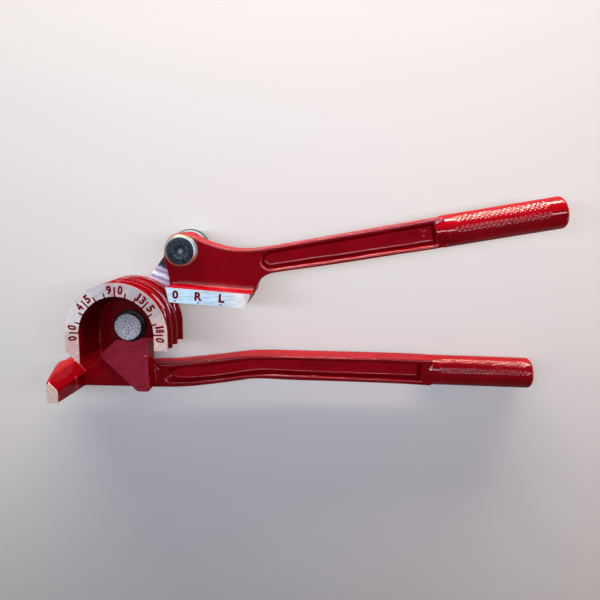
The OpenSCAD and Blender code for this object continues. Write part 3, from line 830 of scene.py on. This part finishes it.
def glyph(text, x, y, angle, height, width, bold=0.0):
    """Outline mesh of one character of this height and width, centred on x, y, its top pointing along angle + 90 degrees."""
    cu = bpy.data.curves.new("glyph", "FONT")
    cu.body = text
    cu.align_x = "CENTER"
    cu.size = 1.0
    cu.extrude = 0.5
    cu.offset = bold
    cu.resolution_u = 4
    o = bpy.data.objects.new("glyph", cu)
    bpy.context.collection.objects.link(o)
    dg = bpy.context.evaluated_depsgraph_get()
    me = bpy.data.meshes.new_from_object(o.evaluated_get(dg))
    bpy.data.objects.remove(o)
    co = np.array([v.co[:] for v in me.vertices])
    lo, hi = co.min(0), co.max(0)
    co[:, 0] = (co[:, 0] - (lo[0] + hi[0]) / 2) * width / (hi[0] - lo[0])
    co[:, 1] = (co[:, 1] - (lo[1] + hi[1]) / 2) * height / (hi[1] - lo[1])
    c, s = math.cos(angle), math.sin(angle)
    px = co[:, 0] * c - co[:, 1] * s + x
    py = co[:, 0] * s + co[:, 1] * c + y
    faces = [tuple(p.vertices) for p in me.polygons]
    bpy.data.meshes.remove(me)
    return np.stack([px, py, co[:, 2]], 1), faces


def bar_mark(x, y, angle, length, width):
    """A straight mark, its middle at x, y and its length along angle + 90 degrees."""
    c, s = math.cos(angle), math.sin(angle)
    pts = []
    for zz in (-0.5, 0.5):
        for u, v in ((-1, -1), (1, -1), (1, 1), (-1, 1)):
            a, b = u * width / 2, v * length / 2
            pts.append((a * c - b * s + x, a * s + b * c + y, zz))
    return np.array(pts), [(3, 2, 1, 0), (4, 5, 6, 7), (0, 1, 5, 4), (1, 2, 6, 5), (2, 3, 7, 6), (3, 0, 4, 7)]


def engrave(o, marks, z0, z1):
    """Cuts the marks right through the thin plate o, between heights z0 and z1."""
    verts, faces, n = [], [], 0
    for v, f in marks:
        v = v.copy()
        v[:, 2] = np.where(v[:, 2] > 0, z1 + 0.4, z0 - 0.4)
        verts.append(v)
        faces += [tuple(i + n for i in g) for g in f]
        n += len(v)
    me = bpy.data.meshes.new("marks")
    me.from_pydata((np.concatenate(verts) * MM).tolist(), [], faces)
    bm = bmesh.new()
    bm.from_mesh(me)
    bmesh.ops.remove_doubles(bm, verts=bm.verts, dist=1e-7)
    bmesh.ops.recalc_face_normals(bm, faces=bm.faces)
    bm.to_mesh(me)
    bm.free()
    c = bpy.data.objects.new("marks", me)
    bpy.context.collection.objects.link(c)
    mod = o.modifiers.new("cut", "BOOLEAN")
    mod.operation = "DIFFERENCE"
    mod.solver = "EXACT"
    mod.object = c
    mod.use_self = True
    dg = bpy.context.evaluated_depsgraph_get()
    new = bpy.data.meshes.new_from_object(o.evaluated_get(dg))
    old = o.data
    o.modifiers.clear()
    o.data = new
    bpy.data.meshes.remove(old)
    bpy.data.objects.remove(c)
    bpy.data.meshes.remove(me)


SKIN = 0.2
GLYPH_BOLD = 0.055
DIGIT = {"0": 2.95, "1": 1.35, "3": 2.85, "4": 3.05, "5": 3.15, "8": 2.35, "9": 3.1}


def casting(name, fn, lo, hi, body, node, plates):
    """Casts a piece, mills its face at the scale plane and lays the bare metal plates on it."""
    P, Q = surface(fn, lo, hi, H)
    o = fast_mesh(name, P, Q)
    loops = mill(o, BASE - SKIN)
    print(name, "verts", len(P), "loops", [len(l) for l in loops])
    o.data.materials.append(CAST if node == "lower_casting" else PAINT)
    finish_piece(o, body, (node,), True, 40)
    made = []
    for loop in loops:
        c = sum(loop, Vector()) / len(loop) / MM
        for tag, test, mat, marks in plates:
            if test(c):
                p = plate_from_loop(tag, loop, BASE - SKIN, BASE)
                if marks:
                    engrave(p, marks, BASE - SKIN, BASE)
                p.data.materials.append(mat)
                finish_piece(p, body, (), False)
                made.append(p)
    return o, made


# scale marks: label, angle, the characters left and right of its tick as (character, offset along the arc in mm)
RING_MARKS = []
RM = 25.9
for deg, chars in ((179.4, (("0", -3.3), ("0", 3.2))), (135.4, (("4", -3.5), ("5", 3.2))), (90, (("9", -3.2), ("0", 3.4))),
                   (44.7, (("1", -5.65), ("3", -2.8), ("5", 3.6))), (-0.5, (("1", -4.65), ("8", -2.4), ("0", 2.95)))):
    a = math.radians(deg)
    RING_MARKS.append(bar_mark(math.cos(a) * 24.6, math.sin(a) * 24.6, a - math.pi / 2, 6.0, 1.05))
    for ch, off in chars:
        b_ = a - off / RM
        RING_MARKS.append(glyph(ch, math.cos(b_) * RM, math.sin(b_) * RM, b_ - math.pi / 2, 5.3, DIGIT[ch], GLYPH_BOLD))
for deg in (14.6, 29.4, 59.9, 74.9, 105.4, 120.4, 150.3, 164.7):
    a = math.radians(deg)
    RING_MARKS.append(bar_mark(math.cos(a) * 23.1, math.sin(a) * 23.1, a - math.pi / 2, 3.15, 1.0))


def shoe_point(t, h):
    c, s = math.cos(SHOE_A), math.sin(SHOE_A)
    hh = h - SHOE_DROP
    return PX + t * c - hh * s, PY + t * s + hh * c


SHOE_MARKS = []
for ch, t, wide in (("0", 1.5, 3.6), ("R", 14.8, 4.5), ("L", 27.8, 3.4)):
    x, y = shoe_point(t + (0.3 if ch == "L" else 0), 4.6)
    SHOE_MARKS.append(glyph(ch, x, y, SHOE_A, 5.1, wide, GLYPH_BOLD))
    x, y = shoe_point(t, 0.95)
    SHOE_MARKS.append(bar_mark(x, y, SHOE_A, 1.1, 0.75))

lower, low_plates = casting(
    "lower_casting_skin", lower_field, (-58, -46, -1), (202, 33, 56), "fixed_side", "lower_casting",
    [("scale_plate", lambda c: c.y > -20, RING, RING_MARKS), ("hook_end_plate", lambda c: c.y <= -20, HOOK_END, None)])
upper, up_plates = casting(
    "upper_casting_skin", upper_field, (20, 12, 18), (204, 76, 56), "forming_handle", "upper_casting",
    [("shoe_plate", lambda c: True, SHOE_FACE, SHOE_MARKS)])


# ---------------------------------------------------------------- knurled grips
def knurl_grip(name, axis, s0, s1, k0, k1, body):
    y0, gd, a = axis
    rmax, depth = 9.57, 0.19
    ns = int((s1 - s0) / (0.2))
    na = 336
    starts, pitch = 28, 2.8
    rows = []
    # profile along the axis: position, radius, knurl amount
    for i in range(ns + 1):
        s = s0 + (s1 - s0 - 2.2) * i / ns
        amt = min(1, max(0, (s - k0) / 3.5)) * min(1, max(0, (k1 - s) / 3.0))
        r = 9.25 + (rmax - 9.25) * min(1, max(0, (s - s0) / 2.2))
        rows.append((s, r, amt))
    for k in range(1, 13):
        b = math.pi / 2 * k / 12
        rows.append((s1 - 2.2 + 2.2 * math.sin(b), rmax - 2.0 * (1 - math.cos(b)), 0))
    S = np.array([r[0] for r in rows])[:, None]
    Rr = np.array([r[1] for r in rows])[:, None]
    A = np.array([r[2] for r in rows])[:, None]
    th = np.arange(na)[None, :] * 2 * math.pi / na
    u = S / pitch
    v = th * starts / (2 * math.pi)
    t1 = np.abs(((u + v) % 1) * 2 - 1)
    t2 = np.abs(((u - v) % 1) * 2 - 1)
    peak = np.clip(np.minimum(t1, t2) * 1.15, 0, 1)
    # paint fills the knurl unevenly
    worn = 0.92 + 0.08 * np.sin(3 * th + 0.31 * S + np.sin(0.23 * S + 2 * th)) * np.cos(5 * th - 0.17 * S)
    rad = Rr - A * worn * depth * (1 - peak)
    w = rad * np.cos(th)
    zz = rad * np.sin(th)
    x = S * math.cos(a) - w * math.sin(a)
    y = y0 + S * math.sin(a) + w * math.cos(a)
    z = BASE - gd + zz
    P = np.stack([x, y, z], -1).reshape(-1, 3)
    nr = len(rows)
    i, j = np.meshgrid(np.arange(nr - 1), np.arange(na), indexing="ij")
    q = np.stack([i * na + j, i * na + (j + 1) % na, (i + 1) * na + (j + 1) % na, (i + 1) * na + j], -1).reshape(-1, 4)
    end = np.array([[s1 * math.cos(a), y0 + s1 * math.sin(a), BASE - gd]])
    start = np.array([[s0 * math.cos(a), y0 + s0 * math.sin(a), BASE - gd]])
    P = np.concatenate([P, end, start])
    faces = q[:, ::-1].tolist()
    base = (nr - 1) * na
    faces += [(base + j, base + (j + 1) % na, nr * na)[::-1] for j in range(na)]
    faces += [((j + 1) % na, j, nr * na + 1)[::-1] for j in range(na)]
    o = mesh_object(name, P, faces, body, (), True, 50)
    o.data.materials.append(GRIP)
    bm = bmesh.new()
    bm.from_mesh(o.data)
    bmesh.ops.recalc_face_normals(bm, faces=bm.faces)
    bm.to_mesh(o.data)
    bm.free()
    return o


knurl_grip("fixed_grip_knurl", LOW_AXIS, 190.9, 254.9, 193.5, 252.4, "fixed_side")
knurl_grip("forming_grip_knurl", UP_AXIS, 193.1, 262.7, 196.5, 254.0, "forming_handle")


# ---------------------------------------------------------------- turned parts
def lathe(name, profile, centre, body, node, mats, seg=128, rings=None, sharp=30):
    """Turns a closed or open profile of (radius, depth) about the vertical axis at centre. mats is a list of (material, first profile edge)."""
    n = seg
    verts, faces, fm = [], [], []
    index = []
    for r, d in profile:
        if r <= 1e-6:
            index.append([len(verts)])
            verts.append((centre[0], centre[1], BASE - d))
        else:
            index.append([len(verts) + k for k in range(n)])
            verts += [(centre[0] + r * math.cos(2 * math.pi * k / n), centre[1] + r * math.sin(2 * math.pi * k / n), BASE - d) for k in range(n)]
    closed = profile[0][0] > 1e-6
    pairs = list(zip(range(len(profile)), list(range(1, len(profile))) + ([0] if closed else [])))
    for e, (i, j) in enumerate(pairs):
        a, b = index[i], index[j]
        mat = [k for k, (m, first) in enumerate(mats) if e >= first][-1]
        for k in range(n):
            k2 = (k + 1) % n
            if len(a) == 1 and len(b) == 1:
                continue
            if len(a) == 1:
                faces.append((a[0], b[k], b[k2]))
            elif len(b) == 1:
                faces.append((a[k], b[0], a[k2]))
            else:
                faces.append((a[k], b[k], b[k2], a[k2]))
            fm.append(mat)
    o = mesh_object(name, verts, faces, body, (node,) if node else (), True, sharp)
    bm = bmesh.new()
    bm.from_mesh(o.data)
    bmesh.ops.recalc_face_normals(bm, faces=bm.faces)
    bm.to_mesh(o.data)
    bm.free()
    for m, _ in mats:
        o.data.materials.append(m)
    for p, k in zip(o.data.polygons, fm):
        p.material_index = k
    o.data.set_sharp_from_angle(angle=math.radians(sharp))
    return o


def arc_pts(cr, cd, r, a0, a1, n):
    return [(cr + r * math.cos(math.radians(a0 + (a1 - a0) * i / n)), cd + r * math.sin(math.radians(a0 + (a1 - a0) * i / n))) for i in range(n + 1)]


def ring_profile(ri, ro, d0, d1, e=0.15):
    return [(ri + e, d0), (ro - e, d0), (ro, d0 + e), (ro, d1 - e), (ro - e, d1), (ri + e, d1), (ri, d1 - e), (ri, d0 + e)]


def thread_profile(d_from):
    out = []
    dd = d_from
    while dd < BASE - 1.6:
        out += [(5.0, dd + 0.2), (5.0, dd + 0.4), (4.5, dd + 0.7), (4.5, dd + 0.85)]
        dd += 1.0
    return out + [(5.0, BASE - 0.9), (4.2, BASE), (0, BASE)]


# former pin
hd = FLOOR_D - 5
prof = [(0, hd + 0.04), (3, hd + 0.03), (7.2, hd), (7.95, hd + 0.06), (8.25, hd + 0.3), (8.35, hd + 0.7), (8.35, hd + 3.3), (8.15, hd + 3.5), (5.0, hd + 3.5), (5.0, 41.8)] + thread_profile(41.8)
lathe("former_pin_turned", prof, (0, 0), "fixed_side", "former_pin", [(PIN, 0), (STEEL, 3)])
lathe("former_head_washer_turned", ring_profile(5.1, 10.2, FLOOR_D - 1.5, FLOOR_D - 0.02, 0.45), (0, 0), "fixed_side", "former_head_washer", [(BLACK, 0)])
# handle pin: dark scratched face, bare bevel
h0 = UP_D - 3
prof = [(0, h0 + 0.10), (2.2, h0 + 0.12), (2.9, h0 + 0.02), (7.6, h0), (8.12, h0 + 0.05), (8.4, h0 + 0.2), (9.55, h0 + 1.1), (9.85, h0 + 1.5), (9.93, h0 + 1.9), (9.93, h0 + 2.7), (9.75, h0 + 2.98), (5.0, h0 + 2.98), (5.0, 41.8)] + thread_profile(41.8)
lathe("handle_pin_turned", prof, (PX, PY), "link", "handle_pin", [(BLUED, 0), (BEVEL, 4), (STEEL, 10)])

for tag, c, body in (("former", (0, 0), "fixed_side"), ("handle", (PX, PY), "link")):
    lathe(tag + "_thrust_washer_turned", ring_profile(5.1, 10.4, 33.02, 34.0), c, body, tag + "_thrust_washer", [(ZINC, 0)])
    lathe(tag + "_rear_washer_turned", ring_profile(5.1, 10.2, 38.6, 40.2), c, body, tag + "_rear_washer", [(ZINC, 0)])
    lathe(tag + "_spring_washer_turned", [(5.3, 41.75), (6.1, 41.75), (8.8, 41.05), (8.9, 40.95), (8.9, 40.25), (8.8, 40.2), (7.9, 40.2), (5.3, 40.9)], c, body, tag + "_spring_washer", [(SPRING, 0)])
    lathe(tag + "_nut_insert_turned", ring_profile(5.05, 6.5, BASE - 1.6 - 1.9, BASE - 1.6 - 0.3, 0.1), c, body, tag + "_nut_insert", [(NYLON, 0)])


def hex_nut(name, c, body, node, d0, d1):
    """Lock nut: chamfered hexagon, round collar turned over the insert, plain bore."""
    seg = 96
    af = 8.5
    rows = []  # (depth, radius limit or None, hexagon on or off)
    prof = [(5.05, d0 + 0.3, 0), (5.6, d0, 0), (8.4, d0, 0), (9.9, d0 + 0.75, 1), (9.9, d1 - 3.2, 1), (8.2, d1 - 2.4, 1), (7.7, d1 - 2.3, 0),
            (7.6, d1 - 2.1, 0), (7.6, d1 - 0.7, 0), (7.2, d1 - 0.2, 0), (6.7, d1, 0), (6.3, d1 - 0.1, 0), (6.2, d1 - 0.35, 0), (6.5, d1 - 0.35, 0), (6.5, d1 - 1.9, 0), (5.05, d1 - 1.9, 0)]
    verts, faces = [], []
    for r, d, hx in prof:
        for k in range(seg):
            a = 2 * math.pi * k / seg
            rr = r
            if hx:
                b = (a + math.pi / 6) % (math.pi / 3) - math.pi / 6
                # flats face +X and every 60 degrees, shifted so that the corners lie on the X axis
                b = (a % (math.pi / 3)) - math.pi / 6
                rr = min(r, af / math.cos(b))
            verts.append((c[0] + rr * math.cos(a), c[1] + rr * math.sin(a), BASE - d))
    m = len(prof)
    for i in range(m):
        j = (i + 1) % m
        for k in range(seg):
            k2 = (k + 1) % seg
            faces.append((i * seg + k, j * seg + k, j * seg + k2, i * seg + k2))
    o = mesh_object(name, verts, faces, body, (node,), True, 25)
    bm = bmesh.new()
    bm.from_mesh(o.data)
    bmesh.ops.recalc_face_normals(bm, faces=bm.faces)
    bm.to_mesh(o.data)
    bm.free()
    o.data.materials.append(ZINC)
    o.data.set_sharp_from_angle(angle=math.radians(25))
    return o


hex_nut("former_nut_hex", (0, 0), "fixed_side", "former_nut", 41.8, BASE - 1.6)
hex_nut("handle_nut_hex", (PX, PY), "link", "handle_nut", 41.8, BASE - 1.6)
lathe("handle_bush_turned", ring_profile(5.05, 6.5, UP_D + 0.1, DRUM - 0.1, 0.2), (PX, PY), "forming_handle", "handle_bush", [(BRONZE, 0)])


# ---------------------------------------------------------------- link plate
def link_plate():
    """Punched zinc-plated plate: rolled edge on the outline, two holes."""
    a = math.radians(53.5)
    L = 59.3
    t0 = math.asin(10.4 / 12)

    # outline in link coordinates: u along the link, v across
    def arc(cu, a0, a1, m):
        return [(cu + 12 * math.cos(a0 + (a1 - a0) * k / m), 12 * math.sin(a0 + (a1 - a0) * k / m)) for k in range(m + 1)]
    far = arc(L, -(math.pi - t0), math.pi - t0, 72)
    near = arc(0, t0, 2 * math.pi - t0, 72)
    pts = far + near
    m = len(pts)
    P = np.array(pts)
    ca, sa = math.cos(a), math.sin(a)
    XY = np.stack([P[:, 0] * ca - P[:, 1] * sa, P[:, 0] * sa + P[:, 1] * ca], 1)
    bm = bmesh.new()
    e = 0.35
    def shrink(Q, s):
        Nx = np.roll(Q, -1, 0) - np.roll(Q, 1, 0)
        nrm = np.stack([Nx[:, 1], -Nx[:, 0]], 1)
        nrm /= np.linalg.norm(nrm, axis=1, keepdims=True)
        return Q - nrm * s
    rows = [(LINK0, e), (LINK0 + 0.1, e * 0.3), (LINK0 + e, 0), (LINK1 - e, 0), (LINK1 - 0.1, e * 0.3), (LINK1, e)]
    rings = []
    for d, s in rows:
        rings.append([bm.verts.new((x * MM, y * MM, (BASE - d) * MM)) for x, y in shrink(XY, s)])
    holes = []
    for cx, cy in ((0, 0), (PX, PY)):
        hr = []
        for d, r in ((LINK0, 5.25), (LINK0 + 0.2, 5.05), (LINK1 - 0.2, 5.05), (LINK1, 5.25)):
            hr.append([bm.verts.new(((cx + r * math.cos(2 * math.pi * k / 64)) * MM, (cy + r * math.sin(2 * math.pi * k / 64)) * MM, (BASE - d) * MM)) for k in range(64)])
        holes.append(hr)
    for A_, B_ in zip(rings, rings[1:]):
        for k in range(m):
            bm.faces.new((A_[k], A_[(k + 1) % m], B_[(k + 1) % m], B_[k]))
    for hr in holes:
        for A_, B_ in zip(hr, hr[1:]):
            for k in range(64):
                bm.faces.new((A_[k], B_[k], B_[(k + 1) % 64], A_[(k + 1) % 64]))
    for ring, hi in ((rings[0], 0), (rings[-1], -1)):
        edges = [bm.edges.get((ring[k], ring[(k + 1) % m])) for k in range(m)]
        for hr in holes:
            h_ = hr[hi]
            edges += [bm.edges.get((h_[k], h_[(k + 1) % 64])) for k in range(64)]
        bmesh.ops.triangle_fill(bm, use_beauty=True, edges=edges)
    bmesh.ops.recalc_face_normals(bm, faces=bm.faces)
    me = bpy.data.meshes.new("link_plate_punched")
    bm.to_mesh(me)
    bm.free()
    o = bpy.data.objects.new("link_plate_punched", me)
    bpy.context.collection.objects.link(o)
    finish_piece(o, "link", ("link_plate",), True, 25)
    me.materials.append(LINK)
    return o


link_plate()

# ---------------------------------------------------------------- floor, lights, camera
bm = bmesh.new()
bmesh.ops.create_grid(bm, x_segments=2, y_segments=2, size=3.0)
me = bpy.data.meshes.new("floor")
bm.to_mesh(me)
bm.free()
floor = bpy.data.objects.new("floor", me)
floor.location = (0.1, 0.02, -0.0004)
bpy.context.collection.objects.link(floor)
fm, nt, b = nodes_of("floor_card")
b.inputs["Base Color"].default_value = (0.38, 0.38, 0.385, 1)
b.inputs["Roughness"].default_value = 0.65
me.materials.append(fm)

world = bpy.data.worlds.new("studio")
scene = bpy.context.scene
scene.world = world
world.use_nodes = True
bg = world.node_tree.nodes["Background"]
bg.inputs["Color"].default_value = (0.92, 0.95, 1.0, 1)
bg.inputs["Strength"].default_value = 0.12
scene.view_settings.view_transform = "Standard"


def light(name, loc, target, size, power, color=(1, 1, 1), size_y=None):
    l = bpy.data.lights.new(name, "AREA")
    l.shape = "RECTANGLE"
    l.size = size
    l.size_y = size_y or size
    l.energy = power
    l.color = color
    o = bpy.data.objects.new(name, l)
    o.location = loc
    o.rotation_euler = (Vector(target) - Vector(loc)).to_track_quat("-Z", "Y").to_euler()
    bpy.context.collection.objects.link(o)
    return o


light("key_low", (0.05, 0.90, 0.085), (0.05, 0.0, 0.03), 1.3, 46, (1, 0.90, 0.74), 0.025)
light("key", (0.10, 0.95, 0.22), (0.10, 0.0, 0.03), 1.3, 15, (1, 0.91, 0.74), 0.06)
light("over", (0.10, 0.10, 0.50), (0.10, 0.10, 0.0), 0.9, 4.0, (0.84, 0.85, 1.0), 0.05)
light("right_warm", (0.95, -0.02, 0.14), (0.0, 0.0, 0.03), 0.5, 4.5, (1, 0.56, 0.22), 0.08)
light("left", (-0.85, 0.10, 0.40), (0.0, 0.0, 0.0), 0.6, 0.9, (0.95, 0.97, 1.0), 0.4)

cam_data = bpy.data.cameras.new("camera")
cam = bpy.data.objects.new("camera", cam_data)
bpy.context.collection.objects.link(cam)
bpy.context.scene.camera = cam
CAM_R = (-0.119591851, 0.0347384296, 0.010049514)
CAM_C = (116.804, 73.166, 272.637)
CAM_F = 490.153
CAM_PP = (302.686, 267.657)
rx, ry, rz = CAM_R
Rm = Matrix.Rotation(rz, 4, "Z") @ Matrix.Rotation(ry, 4, "Y") @ Matrix.Rotation(rx, 4, "X")
Rm.translation = Vector((CAM_C[0], CAM_C[1], CAM_C[2] + BASE)) * MM
cam.matrix_world = Rm
cam_data.sensor_width = 36
cam_data.sensor_fit = "HORIZONTAL"
cam_data.lens = CAM_F / 600 * 36
cam_data.shift_x = (300 - CAM_PP[0]) / 600
cam_data.shift_y = (CAM_PP[1] - 300) / 600
cam_data.clip_start = 0.01
cam_data.clip_end = 20
